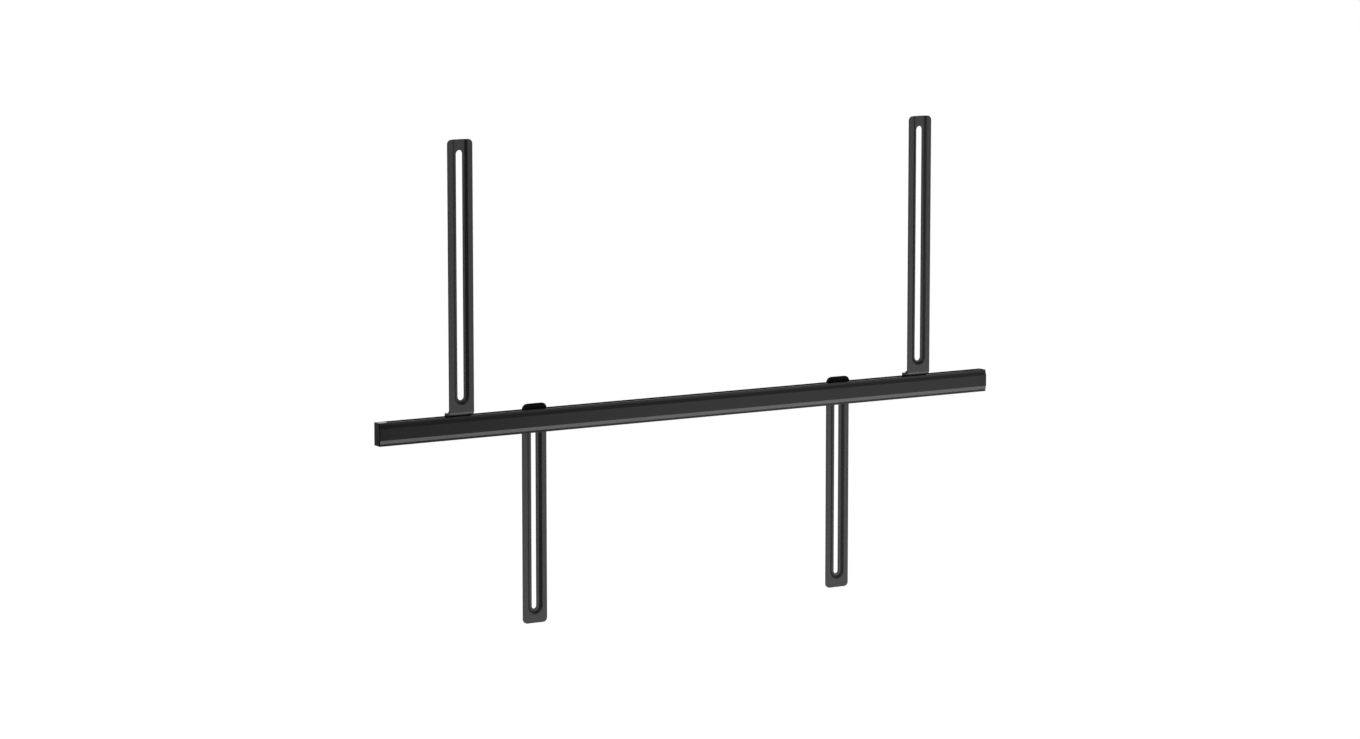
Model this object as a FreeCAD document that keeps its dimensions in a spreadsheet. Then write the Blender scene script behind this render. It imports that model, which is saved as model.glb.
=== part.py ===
import FreeCAD, Part
import os
import Sketcher
from math import sqrt

# Bracket that hangs a soundbar below a television. The frame is in millimetres: +X along the rail, +Y away
# from the television, +Z up, with the origin midway between the two upper slots on the arms' front faces.
document = FreeCAD.newDocument("soundbar_bracket")

SIZES = (
    ("overall_length", 797.2, "rail with both end caps"),
    ("rail_height", 25.4, "rail, top to bottom"),
    ("rail_depth", 13.4, "rail, front face to back face"),
    ("rail_drop", 30.6, "rail's centreline below the lower ends of the upper slots"),
    ("rail_setback", 3.0, "rail's front face behind the upper arms' front faces"),
    ("face_height", 12.6, "flat band of the rail's front"),
    ("bevel_depth", 1.4, "how far the bevels fall back from the flat band"),
    ("edge_height", 2.5, "narrow upright edge above and below the bevels"),
    ("rail_wall", 1.6, "wall and web of the rail"),
    ("rail_round", 0.4, "rounded long edges of the rail and its caps"),
    ("recess_rim", 1.5, "rim on each side of the shallow recess along the rail's top"),
    ("recess_depth", 1.5, "depth of that recess"),
    ("recess_clearance", 0.3, "foot pad to the front rim of the recess"),
    ("foot_lip", 1.5, "lips over the groove in the rail's top"),
    ("clamp_lip", 2.0, "lips over the groove in the rail's back"),
    ("cap_length", 11.0, "part of an end cap that shows"),
    ("cap_round", 0.8, "rounded outer edge of an end cap"),
    ("plug_length", 12.0, "part of an end cap inside the back groove"),
    ("plug_clearance", 0.15, "end cap's plug to the groove, each side"),
    ("arm_width", 30.0, "steel strip of every arm"),
    ("sheet", 2.0, "thickness of the steel strip"),
    ("corner_radius", 5.0, "rounded corners at the free end of an arm"),
    ("channel_width", 18.4, "pressed channel at the strip's front face"),
    ("channel_floor", 11.8, "flat floor of the pressed channel"),
    ("channel_depth", 2.0, "how far the channel is pressed back"),
    ("channel_round", 2.0, "rounded bends of the pressed channel"),
    ("upper_spacing", 600.0, "upper arms, centre to centre"),
    ("upper_slot_width", 8.5, "slot for the television's screws"),
    ("upper_slot_length", 270.6, "slot of an upper arm, end to end"),
    ("upper_tip", 11.6, "upper slot's end to the arm's top edge"),
    ("foot_depth", 11.7, "upper arm's front face to the back edge of its foot"),
    ("bend_radius", 1.5, "inside of the bend above the foot"),
    ("foot_lift", 1.8, "underside of a foot above the rail's top"),
    ("foot_screw_line", 8.8, "foot screws behind the upper arm's front face"),
    ("foot_screw_spacing", 18.0, "two screws of a foot"),
    ("foot_screw", 3.0, "thread of the foot screws"),
    ("foot_head", 5.7, "head of a foot screw, across"),
    ("foot_head_height", 1.7, "head of a foot screw, tall"),
    ("foot_socket", 2.0, "socket of a foot screw, across flats"),
    ("foot_nut_length", 26.0, "nut bar under a foot"),
    ("foot_nut_width", 5.2, "nut bar under a foot, front to back"),
    ("foot_nut_thickness", 2.2, "nut bar under a foot, top to bottom"),
    ("lower_spacing", 400.0, "lower arms, centre to centre"),
    ("lower_slot_width", 6.6, "slot for the soundbar's screws"),
    ("lower_slot_length", 200.0, "slot of a lower arm, end to end"),
    ("lower_slot_drop", 11.3, "top of the lower slot below the rail's centreline"),
    ("lower_tip", 15.6, "lower slot's end to the arm's bottom edge"),
    ("liner_thickness", 1.0, "liner between a lower arm and the rail"),
    ("tab_height", 5.2, "liner's tab above the rail"),
    ("tab_radius", 6.5, "rounded corners of the tab"),
    ("tab_cover", 0.3, "tab's top above the top edge of its arm"),
    ("clamp_screw_spacing", 16.0, "two screws of a lower arm"),
    ("clamp_screw", 5.0, "thread of the clamp screws"),
    ("clamp_head", 9.5, "head of a clamp screw, across"),
    ("clamp_head_height", 2.7, "head of a clamp screw, tall"),
    ("clamp_socket", 3.0, "socket of a clamp screw, across flats"),
    ("clamp_nut_length", 26.0, "nut bar of a lower arm"),
    ("clamp_nut_width", 11.2, "nut bar of a lower arm, top to bottom"),
    ("clamp_nut_thickness", 4.4, "nut bar of a lower arm, front to back"),
    ("washer", 10.0, "washer under a clamp screw, across"),
    ("washer_thickness", 1.0, "washer under a clamp screw"),
    ("screw_clearance", 0.6, "holes and grooves over a screw's thread"),
    ("thread_play", 0.1, "tapped hole over its screw"),
    ("nut_clearance", 0.2, "nut bar to its groove, each side"),
    ("head_round", 0.8, "rounded top edge of a screw head"),
    ("socket_depth", 1.0, "depth of a screw's socket"),
)


class Size:
    """A length that carries its number and the sheet formula behind it."""

    def __init__(self, value, formula):
        self.value = value
        self.formula = formula

    def combine(self, other, sign, value):
        other_formula = other.formula if isinstance(other, Size) else repr(other)
        return Size(value, f"({self.formula} {sign} {other_formula})")

    def __add__(self, other):
        return self.combine(other, "+", self.value + number(other))

    def __sub__(self, other):
        return self.combine(other, "-", self.value - number(other))

    def __mul__(self, other):
        return self.combine(other, "*", self.value * number(other))

    def __truediv__(self, other):
        return self.combine(other, "/", self.value / number(other))

    def __neg__(self):
        return Size(-self.value, f"(-{self.formula})")


def number(size):
    return size.value if isinstance(size, Size) else size


def root(size):
    return Size(sqrt(size.value), f"sqrt({size.formula})")


ZERO = Size(0.0, "0")


def make_sheet():
    """Writes the sizes to a sheet and returns one Size for each of its names."""
    sheet = document.addObject("Spreadsheet::Sheet", "Sizes")
    named = {}
    for row, (name, value, meaning) in enumerate(SIZES, start=1):
        sheet.set(f"A{row}", name)
        sheet.set(f"B{row}", str(value))
        sheet.set(f"C{row}", meaning)
        sheet.setAlias(f"B{row}", name)
        named[name] = Size(value, f"Sizes.{name}")
    document.recompute()
    return named


size = make_sheet()


# Helpers for sketches and features

def start_body(name, place, turn=None):
    """Starts a body at a place, turned about X where its axis runs back instead of up."""
    body = document.addObject("PartDesign::Body", name)
    body.Label = name
    rotation = FreeCAD.Rotation(FreeCAD.Vector(1, 0, 0), turn or 0)
    body.Placement = FreeCAD.Placement(FreeCAD.Vector(*[number(along) for along in place]), rotation)
    for axis, along in zip("xyz", place):
        body.setExpression(f"Placement.Base.{axis}", along.formula)
    return body


def start_sketch(body, name, role, offset=ZERO):
    """Starts a sketch on one of the body's own planes, lifted along the plane's normal."""
    sketch = body.newObject("Sketcher::SketchObject", name)
    plane = next(feature for feature in body.Origin.OriginFeatures if feature.Role == role)
    sketch.AttachmentSupport = [(plane, "")]
    sketch.MapMode = "FlatFace"
    sketch.setExpression("AttachmentOffset.Base.z", offset.formula)
    return sketch


def fix_point(sketch, geometry, point, across, up):
    """Holds a point of the sketch at a distance across and up from the sketch's origin."""
    for kind, axis, along in (("DistanceX", -2, across), ("DistanceY", -1, up)):
        if along is ZERO:
            sketch.addConstraint(Sketcher.Constraint("PointOnObject", geometry, point, axis))
        else:
            index = sketch.addConstraint(Sketcher.Constraint(kind, -1, 1, geometry, point, along.value))
            sketch.setExpression(f"Constraints[{index}]", along.formula)


def fix_radius(sketch, geometry, radius):
    index = sketch.addConstraint(Sketcher.Constraint("Radius", geometry, radius.value))
    sketch.setExpression(f"Constraints[{index}]", radius.formula)


def draw_polygon(sketch, corners):
    first = sketch.GeometryCount
    points = [FreeCAD.Vector(across.value, up.value, 0) for across, up in corners]
    for start, end in zip(points, points[1:] + points[:1]):
        sketch.addGeometry(Part.LineSegment(start, end))
    for index, (across, up) in enumerate(corners):
        following = first + (index + 1) % len(corners)
        sketch.addConstraint(Sketcher.Constraint("Coincident", first + index, 2, following, 1))
        fix_point(sketch, first + index, 1, across, up)


def draw_box(sketch, left, bottom, right, top):
    draw_polygon(sketch, ((left, bottom), (right, bottom), (right, top), (left, top)))


def draw_circle(sketch, across, up, radius):
    middle = FreeCAD.Vector(across.value, up.value, 0)
    circle = sketch.addGeometry(Part.Circle(middle, FreeCAD.Vector(0, 0, 1), radius.value))
    fix_point(sketch, circle, 3, across, up)
    fix_radius(sketch, circle, radius)


def draw_half_round(sketch, up, radius, start_angle, end_angle):
    circle = Part.Circle(FreeCAD.Vector(0, up.value, 0), FreeCAD.Vector(0, 0, 1), radius.value)
    arc = sketch.addGeometry(Part.ArcOfCircle(circle, start_angle, end_angle))
    fix_point(sketch, arc, 3, ZERO, up)
    fix_radius(sketch, arc, radius)
    return arc


def draw_line(sketch, start, end):
    return sketch.addGeometry(Part.LineSegment(FreeCAD.Vector(*start, 0), FreeCAD.Vector(*end, 0)))


HALF_TURN = 3.141592653589793


def draw_slot(sketch, bottom, top, radius):
    """Draws an upright slot round-ended about two centres on the sketch's vertical axis."""
    reach = radius.value
    upper = draw_half_round(sketch, top, radius, 0, HALF_TURN)
    left = draw_line(sketch, (-reach, top.value), (-reach, bottom.value))
    lower = draw_half_round(sketch, bottom, radius, HALF_TURN, 2 * HALF_TURN)
    right = draw_line(sketch, (reach, bottom.value), (reach, top.value))
    for geometry, following in ((upper, left), (left, lower), (lower, right), (right, upper)):
        sketch.addConstraint(Sketcher.Constraint("Tangent", geometry, 2, following, 1))


def draw_open_slot(sketch, bottom, top, radius):
    """Draws an upright slot that is round at the bottom and square at the top."""
    reach = radius.value
    left = draw_line(sketch, (-reach, top.value), (-reach, bottom.value))
    lower = draw_half_round(sketch, bottom, radius, HALF_TURN, 2 * HALF_TURN)
    right = draw_line(sketch, (reach, bottom.value), (reach, top.value))
    across = draw_line(sketch, (reach, top.value), (-reach, top.value))
    sketch.addConstraint(Sketcher.Constraint("Tangent", left, 2, lower, 1))
    sketch.addConstraint(Sketcher.Constraint("Tangent", lower, 2, right, 1))
    sketch.addConstraint(Sketcher.Constraint("Coincident", right, 2, across, 1))
    sketch.addConstraint(Sketcher.Constraint("Coincident", across, 2, left, 1))
    fix_point(sketch, left, 1, -radius, top)
    fix_point(sketch, right, 2, radius, top)


def extrude(kind, sketch, name, length, back=False, both_ways=False, taper=None):
    """Adds a pad or a pocket of the sketch, and fails where it changes nothing."""
    body = sketch.getParentGeoFeatureGroup()
    before = body.Shape.Volume if body.Tip else 0
    feature = body.newObject(f"PartDesign::{kind}", name)
    feature.Profile = sketch
    feature.setExpression("Length", length.formula)
    feature.Reversed = back
    feature.SideType = "Symmetric" if both_ways else "One side"
    if taper:
        feature.setExpression("TaperAngle", taper)
    document.recompute()
    if abs(body.Shape.Volume - before) < 1e-6:
        raise RuntimeError(f"{body.Label}: {name} changes nothing")
    return feature


def round_edges(body, name, radius, wanted):
    """Rounds the edges of the body's last feature for which wanted is true at their ends and middle."""
    last = body.Tip
    names = []
    for index, edge in enumerate(last.Shape.Edges, start=1):
        points = [vertex.Point for vertex in edge.Vertexes] + [edge.CenterOfMass]
        if all(wanted(point) for point in points):
            names.append(f"Edge{index}")
    fillet = body.newObject("PartDesign::Fillet", name)
    fillet.Base = (last, names)
    fillet.setExpression("Radius", radius.formula)
    document.recompute()


def near(value, wanted):
    return abs(value - number(wanted)) < 1e-4


# Sizes that follow from the sheet

half_height = size["rail_height"] / 2
half_face = size["face_height"] / 2
half_width = size["arm_width"] / 2
bevel_top = half_height - size["edge_height"]
rail_middle = -(size["upper_slot_length"] / 2 + size["rail_drop"])
rail_top = rail_middle + half_height
rail_back = size["rail_setback"] + size["rail_depth"]
rail_length = size["overall_length"] - size["cap_length"] * 2
foot_bottom = rail_top + size["foot_lift"]
foot_top = foot_bottom + size["sheet"]
lower_front = rail_back + size["liner_thickness"]
upper_end = size["upper_slot_length"] / 2 + size["upper_tip"]
foot_line_on_rail = size["foot_screw_line"] - size["rail_setback"]

# Grooves of the rail, sized round the nut bars and screws that run in them
foot_gap = (size["foot_screw"] + size["screw_clearance"]) / 2
foot_groove = size["foot_nut_width"] / 2 + size["nut_clearance"]
recess_floor = half_height - size["recess_depth"]
foot_groove_top = recess_floor - size["foot_lip"]
foot_groove_bottom = foot_groove_top - size["foot_nut_thickness"] - size["nut_clearance"] * 2
clamp_gap = (size["clamp_screw"] + size["screw_clearance"]) / 2
clamp_groove = size["clamp_nut_width"] / 2 + size["nut_clearance"]
clamp_groove_back = size["rail_depth"] - size["clamp_lip"]
clamp_groove_front = clamp_groove_back - size["clamp_nut_thickness"] - size["nut_clearance"] * 2


def front_profile():
    """Front of the rail's section from its top front edge down to its bottom front edge."""
    top = ((size["bevel_depth"], half_height), (size["bevel_depth"], bevel_top), (ZERO, half_face))
    return list(top) + [(depth, -height) for depth, height in reversed(top)]


def round_long_edges(body, name):
    """Rounds the four outer corners of the rail's outline along the whole length."""
    corners = [(depth, height) for depth in (size["bevel_depth"], size["rail_depth"])
               for height in (half_height, -half_height)]
    round_edges(body, name, size["rail_round"], lambda point: any(
        near(point.y, depth) and near(point.z, height) for depth, height in corners))


def make_rail():
    """Extruded bar with a recess and a groove along its top, a groove along its back and closed chambers."""
    body = start_body("rail", (ZERO, size["rail_setback"], rail_middle))
    sketch = start_sketch(body, "rail_section", "YZ_Plane")
    depth = size["rail_depth"]
    line = foot_line_on_rail
    back_groove = [
        (depth, clamp_gap),
        (clamp_groove_back, clamp_gap),
        (clamp_groove_back, clamp_groove),
        (clamp_groove_front, clamp_groove),
    ]
    top_groove = [
        (depth - size["recess_rim"], half_height),
        (depth - size["recess_rim"], recess_floor),
        (line + foot_gap, recess_floor),
        (line + foot_gap, foot_groove_top),
        (line + foot_groove, foot_groove_top),
        (line + foot_groove, foot_groove_bottom),
        (line - foot_groove, foot_groove_bottom),
        (line - foot_groove, foot_groove_top),
        (line - foot_gap, foot_groove_top),
        (line - foot_gap, recess_floor),
        (size["bevel_depth"] + size["recess_rim"], recess_floor),
        (size["bevel_depth"] + size["recess_rim"], half_height),
    ]
    back = [(depth, -half_height)]
    back += [(across, -up) for across, up in back_groove]
    back += reversed(back_groove)
    back += [(depth, half_height)]
    draw_polygon(sketch, front_profile() + back + top_groove)
    wall = size["rail_wall"]
    draw_box(sketch, wall, -clamp_groove, clamp_groove_front - wall, clamp_groove)
    draw_box(sketch, line - foot_groove, wall - half_height, depth - wall, -clamp_groove - wall)
    draw_box(sketch, line + foot_groove + wall, foot_groove_bottom, depth - wall, foot_groove_top)
    extrude("Pad", sketch, "rail_bar", rail_length, both_ways=True)
    round_long_edges(body, "rail_round")
    return body


def make_end_cap(name, side):
    """Moulded cap flush with the rail's outline, with a plug in the back groove."""
    inner_end = rail_length / 2 * side
    body = start_body(name, (inner_end, size["rail_setback"], rail_middle))
    outline = start_sketch(body, name + "_outline", "YZ_Plane")
    depth = size["rail_depth"]
    draw_polygon(outline, front_profile() + [(depth, -half_height), (depth, half_height)])
    extrude("Pad", outline, name + "_collar", size["cap_length"], back=side < 0)
    round_long_edges(body, name + "_long_round")
    outer_end = size["cap_length"].value * side
    round_edges(body, name + "_round", size["cap_round"], lambda point: near(point.x, outer_end))
    plug = start_sketch(body, name + "_plug_section", "YZ_Plane")
    clearance = size["plug_clearance"]
    draw_box(plug, clamp_groove_front + clearance, clearance - clamp_groove,
             clamp_groove_back - clearance, clamp_groove - clearance)
    extrude("Pad", plug, name + "_plug", size["plug_length"], back=side > 0)
    return body


def press_channel(body, name, draw, bottom, top):
    """Presses a channel with sloping walls into the strip, as deep behind it as in front."""
    slope = (size["channel_width"] - size["channel_floor"]) / 2
    depth = size["channel_depth"]
    slant = root(slope * slope + depth * depth)
    taper = f"-atan({slope.formula} / {depth.formula})"
    outside = size["channel_width"] / 2 + size["sheet"] * (slant - slope) / depth
    ridge = start_sketch(body, name + "_ridge_outline", "XZ_Plane", -size["sheet"])
    draw(ridge, bottom, top, outside)
    extrude("Pad", ridge, name + "_ridge", depth, back=True, taper=taper)
    hollow = start_sketch(body, name + "_hollow_outline", "XZ_Plane")
    draw(hollow, bottom, top, size["channel_width"] / 2)
    extrude("Pocket", hollow, name + "_hollow", depth, taper=taper)


def round_channel(body, name, end):
    """Rounds the bends of the channel, front edges, floor and crest, but not across it at an open end."""
    slope = (size["channel_width"] - size["channel_floor"]) / 2
    depth = size["channel_depth"]
    growth = size["sheet"] * (root(slope * slope + depth * depth) - slope) / depth
    bends = (
        (ZERO, size["channel_width"] / 2),
        (depth, size["channel_floor"] / 2),
        (size["sheet"] + depth, size["channel_floor"] / 2 + growth),
    )

    def on_bend(point):
        for level, reach in bends:
            along = near(abs(point.x), reach)
            inside = abs(point.x) < reach.value and not near(point.z, end)
            if near(point.y, level) and (along or inside):
                return True
        return False

    round_edges(body, name + "_bends", size["channel_round"], on_bend)


def cut_slot(body, name, bottom, top, radius):
    outline = start_sketch(body, name + "_slot_outline", "XZ_Plane")
    draw_slot(outline, bottom, top, radius)
    extrude("Pocket", outline, name + "_slot", (size["sheet"] + size["channel_depth"]) * 2)


def make_upper_arm(name, side):
    """Bent strip with a foot at the bottom and a channel that runs out at the top."""
    body = start_body(name, (size["upper_spacing"] / 2 * side, ZERO, ZERO))
    sheet = size["sheet"]
    profile = start_sketch(body, name + "_side", "YZ_Plane")
    draw_polygon(profile, (
        (ZERO, foot_bottom),
        (size["foot_depth"], foot_bottom),
        (size["foot_depth"], foot_top),
        (sheet, foot_top),
        (sheet, upper_end),
        (ZERO, upper_end),
    ))
    extrude("Pad", profile, name + "_strip", size["arm_width"], both_ways=True)
    round_edges(body, name + "_inner_bend", size["bend_radius"],
                lambda point: near(point.y, sheet) and near(point.z, foot_top))
    round_edges(body, name + "_outer_bend", size["bend_radius"] + sheet,
                lambda point: near(point.y, 0) and near(point.z, foot_bottom))
    radius = size["upper_slot_width"] / 2
    slot_middle = size["upper_slot_length"] / 2 - radius
    beyond = upper_end + size["channel_width"]
    press_channel(body, name, draw_open_slot, -slot_middle, beyond)
    trim = start_sketch(body, name + "_trim_outline", "XZ_Plane")
    draw_box(trim, -half_width, upper_end, half_width, beyond + sheet)
    extrude("Pocket", trim, name + "_trim", (sheet + size["channel_depth"]) * 2)
    round_channel(body, name, upper_end)
    round_edges(body, name + "_corners", size["corner_radius"],
                lambda point: near(abs(point.x), half_width) and near(point.z, upper_end))
    cut_slot(body, name, -slot_middle, slot_middle, radius)
    holes = start_sketch(body, name + "_hole_circles", "XY_Plane", foot_top)
    for way in (-1, 1):
        draw_circle(holes, size["foot_screw_spacing"] / 2 * way, size["foot_screw_line"], foot_gap)
    extrude("Pocket", holes, name + "_holes", sheet * 2)
    return body


def make_lower_arm(name, side):
    """Flat strip behind the rail with a channel that is closed at both ends."""
    body = start_body(name, (size["lower_spacing"] / 2 * side, lower_front, rail_middle))
    top = half_height + size["tab_height"] - size["tab_cover"]
    radius = size["lower_slot_width"] / 2
    slot_top = -size["lower_slot_drop"] - radius
    slot_bottom = slot_top - size["lower_slot_length"] + radius * 2
    bottom = slot_bottom - radius - size["lower_tip"]
    outline = start_sketch(body, name + "_outline", "XZ_Plane")
    draw_box(outline, -half_width, bottom, half_width, top)
    extrude("Pad", outline, name + "_strip", size["sheet"], back=True)
    round_edges(body, name + "_bottom_corners", size["corner_radius"],
                lambda point: near(abs(point.x), half_width) and near(point.z, bottom))
    round_edges(body, name + "_top_corners", size["tab_radius"],
                lambda point: near(abs(point.x), half_width) and near(point.z, top))
    press_channel(body, name, draw_slot, slot_bottom, slot_top)
    round_channel(body, name, top)
    cut_slot(body, name, slot_bottom, slot_top, radius)
    holes = start_sketch(body, name + "_hole_circles", "XZ_Plane")
    for way in (-1, 1):
        draw_circle(holes, size["clamp_screw_spacing"] / 2 * way, ZERO, clamp_gap)
    extrude("Pocket", holes, name + "_holes", size["sheet"] * 2)
    return body


def make_foot_pad(name, side):
    """Pad that stands in the recess of the rail and carries a foot."""
    body = start_body(name, (size["upper_spacing"] / 2 * side, ZERO, rail_top - size["recess_depth"]))
    outline = start_sketch(body, name + "_outline", "XY_Plane")
    front = size["rail_setback"] + size["bevel_depth"] + size["recess_rim"] + size["recess_clearance"]
    draw_box(outline, -half_width, front, half_width, size["foot_depth"])
    for way in (-1, 1):
        draw_circle(outline, size["foot_screw_spacing"] / 2 * way, size["foot_screw_line"], foot_gap)
    extrude("Pad", outline, name + "_sheet", size["foot_lift"] + size["recess_depth"])
    return body


def make_liner(name, side):
    """Liner between a lower arm and the rail's back, with a round-cornered tab above the rail."""
    body = start_body(name, (size["lower_spacing"] / 2 * side, rail_back, rail_middle))
    outline = start_sketch(body, name + "_outline", "XZ_Plane")
    top = half_height + size["tab_height"]
    draw_box(outline, -half_width, -half_height, half_width, top)
    for way in (-1, 1):
        draw_circle(outline, size["clamp_screw_spacing"] / 2 * way, ZERO, clamp_gap)
    extrude("Pad", outline, name + "_sheet", size["liner_thickness"], back=True)
    round_edges(body, name + "_corners", size["tab_radius"],
                lambda point: near(abs(point.x), half_width) and near(point.z, top))
    return body


# Fasteners in pairs: each pair's axis is the body's Z, and the two stand apart along X

def make_screws(name, place, kind, length, turn=None):
    """Two round-headed screws with hexagon sockets, head seats at height zero."""
    body = start_body(name, place, turn)
    spread = size[kind + "_screw_spacing"] / 2
    height = size[kind + "_head_height"]
    heads = start_sketch(body, name + "_head_circles", "XY_Plane")
    shanks = start_sketch(body, name + "_shank_circles", "XY_Plane")
    sockets = start_sketch(body, name + "_socket_outlines", "XY_Plane", height)
    flat = size[kind + "_socket"] / 2
    point = size[kind + "_socket"] / sqrt(3)
    for way in (-1, 1):
        middle = spread * way
        draw_circle(heads, middle, ZERO, size[kind + "_head"] / 2)
        draw_circle(shanks, middle, ZERO, size[kind + "_screw"] / 2)
        draw_polygon(sockets, (
            (middle + point, ZERO),
            (middle + point / 2, flat),
            (middle - point / 2, flat),
            (middle - point, ZERO),
            (middle - point / 2, -flat),
            (middle + point / 2, -flat),
        ))
    extrude("Pad", heads, name + "_heads", height)
    round_edges(body, name + "_round", size["head_round"], lambda vertex: near(vertex.z, height))
    extrude("Pad", shanks, name + "_shanks", length, back=True)
    extrude("Pocket", sockets, name + "_sockets", size["socket_depth"])
    return body


def make_nut_bar(name, place, kind, turn=None):
    """Steel bar with two tapped holes, its seat at height zero."""
    body = start_body(name, place, turn)
    half_length = size[kind + "_nut_length"] / 2
    half_bar = size[kind + "_nut_width"] / 2
    outline = start_sketch(body, name + "_outline", "XY_Plane")
    draw_box(outline, -half_length, -half_bar, half_length, half_bar)
    tapped = (size[kind + "_screw"] + size["thread_play"]) / 2
    for way in (-1, 1):
        draw_circle(outline, size[kind + "_screw_spacing"] / 2 * way, ZERO, tapped)
    extrude("Pad", outline, name + "_bar", size[kind + "_nut_thickness"], back=True)
    return body


def make_washers(name, place, turn):
    body = start_body(name, place, turn)
    outline = start_sketch(body, name + "_circles", "XY_Plane")
    for way in (-1, 1):
        middle = size["clamp_screw_spacing"] / 2 * way
        draw_circle(outline, middle, ZERO, size["washer"] / 2)
        draw_circle(outline, middle, ZERO, clamp_gap)
    extrude("Pad", outline, name + "_rings", size["washer_thickness"])
    return body


UP_TO_BACK = -90

pieces = [make_rail()]
for side, word in ((-1, "left"), (1, "right")):
    pieces.append(make_end_cap("end_cap_" + word, side))

    upper = size["upper_spacing"] / 2 * side
    foot_line = size["foot_screw_line"]
    foot_seat = rail_top - size["recess_depth"] - size["foot_lip"]
    foot_grip = foot_top - foot_seat + size["foot_nut_thickness"]
    pieces.append(make_upper_arm("upper_arm_" + word, side))
    pieces.append(make_foot_pad("foot_pad_" + word, side))
    pieces.append(make_screws("foot_screws_" + word, (upper, foot_line, foot_top), "foot", foot_grip))
    pieces.append(make_nut_bar("foot_nut_bar_" + word, (upper, foot_line, foot_seat), "foot"))

    lower = size["lower_spacing"] / 2 * side
    arm_back = lower_front + size["sheet"]
    head_seat = arm_back + size["washer_thickness"]
    nut_seat = rail_back - size["clamp_lip"]
    clamp_grip = head_seat - nut_seat + size["clamp_nut_thickness"]
    pieces.append(make_lower_arm("lower_arm_" + word, side))
    pieces.append(make_liner("liner_" + word, side))
    pieces.append(make_washers("clamp_washers_" + word, (lower, arm_back, rail_middle), UP_TO_BACK))
    screw_place = (lower, head_seat, rail_middle)
    pieces.append(make_screws("clamp_screws_" + word, screw_place, "clamp", clamp_grip, UP_TO_BACK))
    pieces.append(make_nut_bar("clamp_nut_bar_" + word, (lower, nut_seat, rail_middle), "clamp", UP_TO_BACK))

document.recompute()
for item in document.Objects:
    if "Invalid" in item.State or "Error" in item.State:
        raise RuntimeError(f"{item.Label} did not build: {item.State}")

os.makedirs("parts", exist_ok=True)
for piece in pieces:
    if piece.Shape.isNull() or not piece.Shape.isValid():
        raise RuntimeError(f"{piece.Label} has no valid solid")
    print(f"{piece.Label}: {len(piece.Shape.Solids)} solids, {piece.Shape.Volume:.1f} cubic mm")
    piece.Shape.exportStep(f"parts/{piece.Label}.step")
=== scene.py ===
from math import cos, radians, sin

import bpy
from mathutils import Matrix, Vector

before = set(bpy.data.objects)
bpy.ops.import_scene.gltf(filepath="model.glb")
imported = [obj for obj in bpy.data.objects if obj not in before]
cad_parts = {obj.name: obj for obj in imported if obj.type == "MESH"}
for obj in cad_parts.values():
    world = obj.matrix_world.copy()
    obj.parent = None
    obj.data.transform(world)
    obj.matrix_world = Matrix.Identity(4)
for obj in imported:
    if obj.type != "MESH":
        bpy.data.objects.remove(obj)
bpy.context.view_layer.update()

# Camera of the photograph: place in metres, turn and tilt in degrees, lens and sensor in millimetres
CAMERA_PLACE = (-2.5214, -4.0283, 0.5370)
CAMERA_TURN = 31.805
CAMERA_TILT = 7.913
CAMERA_LENS = 113.96
SENSOR_WIDTH = 36.0
FARTHEST_SEEN = 50.0

# Colours as linear light
POWDER_BLACK = (0.032, 0.032, 0.0325)
ANODISED_BLACK = (0.011, 0.011, 0.0115)
CAP_BLACK = (0.010, 0.010, 0.011)
RUBBER_BLACK = (0.030, 0.030, 0.030)
OXIDE_BLACK = (0.030, 0.030, 0.034)
ZINC = (0.56, 0.57, 0.59)
BARE_STEEL = (0.20, 0.20, 0.21)
PALE_FLOOR = (0.90, 0.90, 0.90)
CARD_BLACK = (0.02, 0.02, 0.02)
WHITE = (1.0, 1.0, 1.0)

# Pieces that share a material, without their side
ARMS = ("upper_arm", "lower_arm")
RAIL = ("rail",)
CAPS = ("end_cap",)
RUBBERS = ("foot_pad", "liner")
SCREWS = ("foot_screws", "clamp_screws")
PLATED = ("foot_nut_bar", "clamp_nut_bar", "clamp_washers")

# Range that a noise mostly keeps to
NOISE_LOW = 0.3
NOISE_HIGH = 0.7

# Edge wear: cosines of the turn of the surface where it starts and where it is full
WEAR_STARTS = 0.985
WEAR_IS_FULL = 0.80
WEAR_SAMPLES = 6

# Sockets of the mix node that carry its two colours and its result
MIX_FIRST = 6
MIX_SECOND = 7
MIX_RESULT = 2

# Stage, with places in metres: the floor lies well below the object, which hangs free
FLOOR_LEVEL = -2.0
FLOOR_WIDTH = 18.0
FLOOR_ROUGHNESS = 0.9
CARD_ROUGHNESS = 1.0
LAMP_AIM = (0.0, 0.0, -0.15)

# Strength of the surroundings where they are seen and where they light, and of the floor's lift to white
SEEN_WHITE = 1.0
SOFT_FILL = 0.2
FLOOR_LIFT = 0.85


def opaque(colour):
    return (*colour, 1.0)


def tone(colour, factor):
    return tuple(part * factor for part in colour)


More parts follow.
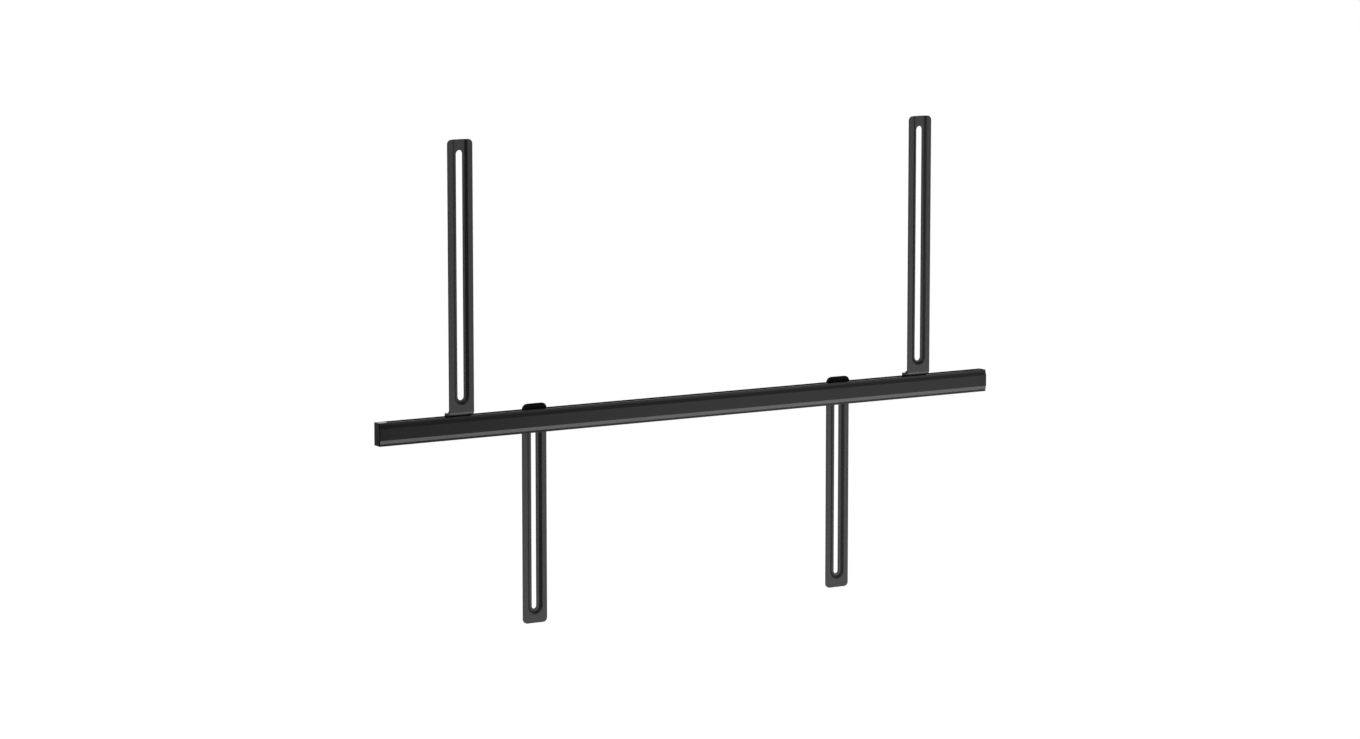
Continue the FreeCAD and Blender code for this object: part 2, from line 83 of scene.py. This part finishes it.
class Surface:
    """A material under construction: its nodes, its links and the shader they feed."""

    def __init__(self, name, specular, metallic=0.0):
        self.material = bpy.data.materials.new(name)
        self.material.use_nodes = True
        self.nodes = self.material.node_tree.nodes
        self.links = self.material.node_tree.links
        self.shader = self.nodes["Principled BSDF"]
        self.shader.inputs["Specular IOR Level"].default_value = specular
        self.shader.inputs["Metallic"].default_value = metallic
        self.place = self.nodes.new("ShaderNodeTexCoord").outputs["Object"]

    def join(self, start, end):
        self.links.new(start, end)

    def noise(self, scale, detail=3.0, stretch=(1, 1, 1)):
        """Noise in the piece's own coordinates, scale in repeats per metre."""
        mapping = self.nodes.new("ShaderNodeMapping")
        mapping.inputs["Scale"].default_value = stretch
        texture = self.nodes.new("ShaderNodeTexNoise")
        texture.inputs["Scale"].default_value = scale
        texture.inputs["Detail"].default_value = detail
        self.join(self.place, mapping.inputs["Vector"])
        self.join(mapping.outputs["Vector"], texture.inputs["Vector"])
        return texture.outputs["Fac"]

    def spread(self, noise, low, high):
        """Maps a noise onto a range."""
        node = self.nodes.new("ShaderNodeMapRange")
        node.inputs["From Min"].default_value = NOISE_LOW
        node.inputs["From Max"].default_value = NOISE_HIGH
        node.inputs["To Min"].default_value = low
        node.inputs["To Max"].default_value = high
        self.join(noise, node.inputs["Value"])
        return node.outputs["Result"]

    def mix(self, share, first, second):
        """Mixes two colours, either of them a colour or another mix."""
        node = self.nodes.new("ShaderNodeMix")
        node.data_type = "RGBA"
        self.join(share, node.inputs["Factor"])
        for socket, colour in ((MIX_FIRST, first), (MIX_SECOND, second)):
            if isinstance(colour, tuple):
                node.inputs[socket].default_value = opaque(colour)
            else:
                self.join(colour, node.inputs[socket])
        return node.outputs[MIX_RESULT]

    def vary_colour(self, noise, colour, darkest, lightest):
        """Lets a colour drift between two tones of itself."""
        share = self.spread(noise, low=0.0, high=1.0)
        return self.mix(share, tone(colour, darkest), tone(colour, lightest))

    def edge_wear(self, width, scale, least, most):
        """Wear along sharp edges, from least to most by a noise, and zero elsewhere."""
        breakup = self.spread(self.noise(scale), least, most)
        rounded = self.nodes.new("ShaderNodeBevel")
        rounded.samples = WEAR_SAMPLES
        rounded.inputs["Radius"].default_value = width
        normal = self.nodes.new("ShaderNodeNewGeometry").outputs["Normal"]
        turned = self.nodes.new("ShaderNodeVectorMath")
        turned.operation = "DOT_PRODUCT"
        self.join(rounded.outputs["Normal"], turned.inputs[0])
        self.join(normal, turned.inputs[1])
        edge = self.nodes.new("ShaderNodeMapRange")
        edge.inputs["From Min"].default_value = WEAR_STARTS
        edge.inputs["From Max"].default_value = WEAR_IS_FULL
        self.join(turned.outputs["Value"], edge.inputs["Value"])
        worn = self.nodes.new("ShaderNodeMath")
        worn.operation = "MULTIPLY"
        self.join(edge.outputs["Result"], worn.inputs[0])
        self.join(breakup, worn.inputs[1])
        return worn.outputs["Value"]

    def bump(self, height, distance, strength):
        node = self.nodes.new("ShaderNodeBump")
        node.inputs["Distance"].default_value = distance
        node.inputs["Strength"].default_value = strength
        self.join(height, node.inputs["Height"])
        self.join(node.outputs["Normal"], self.shader.inputs["Normal"])

    def paint(self, colour):
        self.join(colour, self.shader.inputs["Base Color"])

    def vary_roughness(self, noise, low, high):
        self.join(self.spread(noise, low, high), self.shader.inputs["Roughness"])


# Materials, with widths and heights in metres

def powder_coat():
    """Matt powder coat: fine orange peel, faint mottling and edges worn lighter."""
    surface = Surface("powder_coat", specular=0.40)
    peel = surface.noise(scale=1400, detail=2.0)
    mottle = surface.noise(scale=35, detail=4.0)
    wear = surface.edge_wear(width=0.0006, scale=260, least=0.0, most=0.6)
    ground = surface.vary_colour(mottle, POWDER_BLACK, darkest=0.94, lightest=1.06)
    surface.paint(surface.mix(wear, ground, tone(POWDER_BLACK, factor=1.8)))
    surface.vary_roughness(mottle, low=0.36, high=0.44)
    surface.bump(peel, distance=0.00012, strength=0.25)
    return surface.material


def anodised_aluminium():
    """Black anodised extrusion: fine die lines along its length and edges worn lighter."""
    surface = Surface("anodised_aluminium", specular=0.20)
    lines = surface.noise(scale=900, detail=2.0, stretch=(0.004, 1, 1))
    cloud = surface.noise(scale=18, detail=3.0)
    wear = surface.edge_wear(width=0.0004, scale=300, least=0.0, most=0.5)
    ground = surface.vary_colour(lines, ANODISED_BLACK, darkest=0.88, lightest=1.12)
    surface.paint(surface.mix(wear, ground, tone(ANODISED_BLACK, factor=2.2)))
    surface.vary_roughness(cloud, low=0.18, high=0.23)
    surface.bump(lines, distance=0.00002, strength=0.15)
    return surface.material


def gloss_plastic():
    """Moulded cap: smooth and glossy, with a faint waviness of the mould."""
    surface = Surface("gloss_plastic", specular=0.18)
    flow = surface.noise(scale=60, detail=2.0)
    fine = surface.noise(scale=2200, detail=2.0)
    surface.paint(surface.vary_colour(flow, CAP_BLACK, darkest=0.9, lightest=1.1))
    surface.vary_roughness(flow, low=0.13, high=0.20)
    surface.bump(fine, distance=0.00002, strength=0.15)
    return surface.material


def rubber():
    """Matt moulded rubber with a fine grain."""
    surface = Surface("rubber", specular=0.15)
    grain = surface.noise(scale=1800, detail=4.0)
    dust = surface.noise(scale=120, detail=4.0)
    surface.paint(surface.vary_colour(dust, RUBBER_BLACK, darkest=0.85, lightest=1.25))
    surface.vary_roughness(dust, low=0.78, high=0.92)
    surface.bump(grain, distance=0.00008, strength=0.4)
    return surface.material


def black_oxide():
    """Oiled black oxide on steel, thin on the edges."""
    surface = Surface("black_oxide", specular=0.5, metallic=1.0)
    patches = surface.noise(scale=420, detail=4.0)
    wear = surface.edge_wear(width=0.0003, scale=700, least=0.1, most=0.9)
    ground = surface.vary_colour(patches, OXIDE_BLACK, darkest=0.8, lightest=1.3)
    surface.paint(surface.mix(wear, ground, BARE_STEEL))
    surface.vary_roughness(patches, low=0.30, high=0.46)
    surface.bump(patches, distance=0.00002, strength=0.2)
    return surface.material


def zinc_plate():
    """Bright zinc plate with soft cloudy patches."""
    surface = Surface("zinc_plate", specular=0.5, metallic=1.0)
    patches = surface.noise(scale=260, detail=4.0)
    surface.paint(surface.vary_colour(patches, ZINC, darkest=0.86, lightest=1.05))
    surface.vary_roughness(patches, low=0.24, high=0.38)
    surface.bump(patches, distance=0.00002, strength=0.2)
    return surface.material


def coat(kinds, material):
    """Gives the CAD nodes of these kinds a material."""
    for name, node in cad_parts.items():
        if name.startswith(kinds):
            node.data.materials.clear()
            node.data.materials.append(material)


coat(ARMS, powder_coat())
coat(RAIL, anodised_aluminium())
coat(CAPS, gloss_plastic())
coat(RUBBERS, rubber())
coat(SCREWS, black_oxide())
coat(PLATED, zinc_plate())


# Studio

def show(thing):
    bpy.context.scene.collection.objects.link(thing)


def stand(thing, place, direction):
    """Puts a camera, lamp or card in its place, with its front along a direction."""
    thing.location = place
    thing.rotation_mode = "QUATERNION"
    thing.rotation_quaternion = direction.to_track_quat("-Z", "Y")


def add_camera():
    data = bpy.data.cameras.new("camera")
    data.sensor_fit = "HORIZONTAL"
    data.sensor_width = SENSOR_WIDTH
    data.lens = CAMERA_LENS
    data.clip_end = FARTHEST_SEEN
    camera = bpy.data.objects.new("camera", data)
    turn = radians(CAMERA_TURN)
    tilt = radians(CAMERA_TILT)
    forward = Vector((sin(turn) * cos(tilt), cos(turn) * cos(tilt), -sin(tilt)))
    stand(camera, CAMERA_PLACE, forward)
    show(camera)
    bpy.context.scene.camera = camera


def add_softbox(name, place, aim, width, height, watts):
    data = bpy.data.lights.new(name, "AREA")
    data.shape = "RECTANGLE"
    data.size = width
    data.size_y = height
    data.energy = watts
    lamp = bpy.data.objects.new(name, data)
    stand(lamp, place, Vector(aim) - Vector(place))
    show(lamp)


def add_plane(name, width, height, level, material):
    """Flat rectangle about the origin, at a level."""
    right = width / 2
    top = height / 2
    corners = [(-right, -top, level), (right, -top, level), (right, top, level), (-right, top, level)]
    mesh = bpy.data.meshes.new(name)
    mesh.from_pydata(corners, [], [(0, 1, 2, 3)])
    mesh.materials.append(material)
    plane = bpy.data.objects.new(name, mesh)
    show(plane)
    return plane


def seen_strength(tree, unseen, seen):
    """One strength for rays from the camera, from gloss and through clear things, another for the rest."""
    path = tree.nodes.new("ShaderNodeLightPath")
    share = path.outputs["Is Camera Ray"]
    for ray in ("Is Glossy Ray", "Is Transmission Ray"):
        either = tree.nodes.new("ShaderNodeMath")
        either.operation = "MAXIMUM"
        tree.links.new(share, either.inputs[0])
        tree.links.new(path.outputs[ray], either.inputs[1])
        share = either.outputs["Value"]
    strength = tree.nodes.new("ShaderNodeMapRange")
    strength.inputs["To Min"].default_value = unseen
    strength.inputs["To Max"].default_value = seen
    tree.links.new(share, strength.inputs["Value"])
    return strength.outputs["Result"]


def add_world():
    """White where it is seen and a soft even fill where it lights."""
    world = bpy.data.worlds.new("studio")
    bpy.context.scene.world = world
    world.use_nodes = True
    tree = world.node_tree
    background = tree.nodes["Background"]
    background.inputs["Color"].default_value = opaque(WHITE)
    strength = seen_strength(tree, unseen=SOFT_FILL, seen=SEEN_WHITE)
    tree.links.new(strength, background.inputs["Strength"])


def matt_material(name, colour, roughness):
    """Material of one colour without gloss, for the stage."""
    material = bpy.data.materials.new(name)
    material.use_nodes = True
    shader = material.node_tree.nodes["Principled BSDF"]
    shader.inputs["Base Color"].default_value = opaque(colour)
    shader.inputs["Roughness"].default_value = roughness
    shader.inputs["Specular IOR Level"].default_value = 0.0
    return material


def floor_material():
    """Pale floor that is lifted to white where it is seen and still takes a shadow."""
    material = matt_material("pale_floor", PALE_FLOOR, FLOOR_ROUGHNESS)
    tree = material.node_tree
    shader = tree.nodes["Principled BSDF"]
    shader.inputs["Emission Color"].default_value = opaque(WHITE)
    lift = seen_strength(tree, unseen=0.0, seen=FLOOR_LIFT)
    tree.links.new(lift, shader.inputs["Emission Strength"])
    return material


dark_card = matt_material("dark_card", CARD_BLACK, CARD_ROUGHNESS)


def add_card(name, place, aim, width, height):
    """Dark card that keeps a part of the studio from lighting the object."""
    card = add_plane(name, width, height, level=0.0, material=dark_card)
    stand(card, place, Vector(aim) - Vector(place))
    card.visible_camera = False


def add_side_card(name, place, width, height):
    """Upright card to the left or right, square to the rail."""
    add_card(name, place, (0.0, *place[1:]), width, height)


add_plane("floor", FLOOR_WIDTH, FLOOR_WIDTH, FLOOR_LEVEL, floor_material())
add_camera()
add_world()

# Cards on the left darken what faces left, and the rear one stops higher, to leave light for the rail's back
add_side_card("left_card", place=(-1.6, -1.6, -0.3), width=4.8, height=3.2)
add_side_card("left_back_card", place=(-1.6, 1.6, 0.275), width=1.6, height=2.05)

# Cards on the right darken what faces right, and the top of the right end cap
add_side_card("right_card", place=(1.5, 0.1, -0.3), width=1.3, height=3.2)
add_side_card("right_back_card", place=(1.5, 1.38, 0.165), width=0.40, height=0.40)

# The card above darkens the rail's upper bevel
add_card("upper_card", place=(0.6, -0.9, 1.5), aim=(0.0, 0.0, -0.1), width=3.0, height=2.0)

# Softboxes for the rail's lower bevel, for the front faces and for the back in other views
add_softbox("low_front", place=(1.2, -1.3, -1.65), aim=LAMP_AIM, width=1.8, height=0.8, watts=24.0)
add_softbox("right_front", place=(1.6, -2.1, -0.55), aim=(0.1, 0.0, -0.15), width=1.0, height=1.3, watts=4.5)
add_softbox("back", place=(0.9, 2.2, -0.9), aim=LAMP_AIM, width=1.6, height=1.2, watts=12.0)

bpy.context.scene.view_settings.view_transform = "Standard"
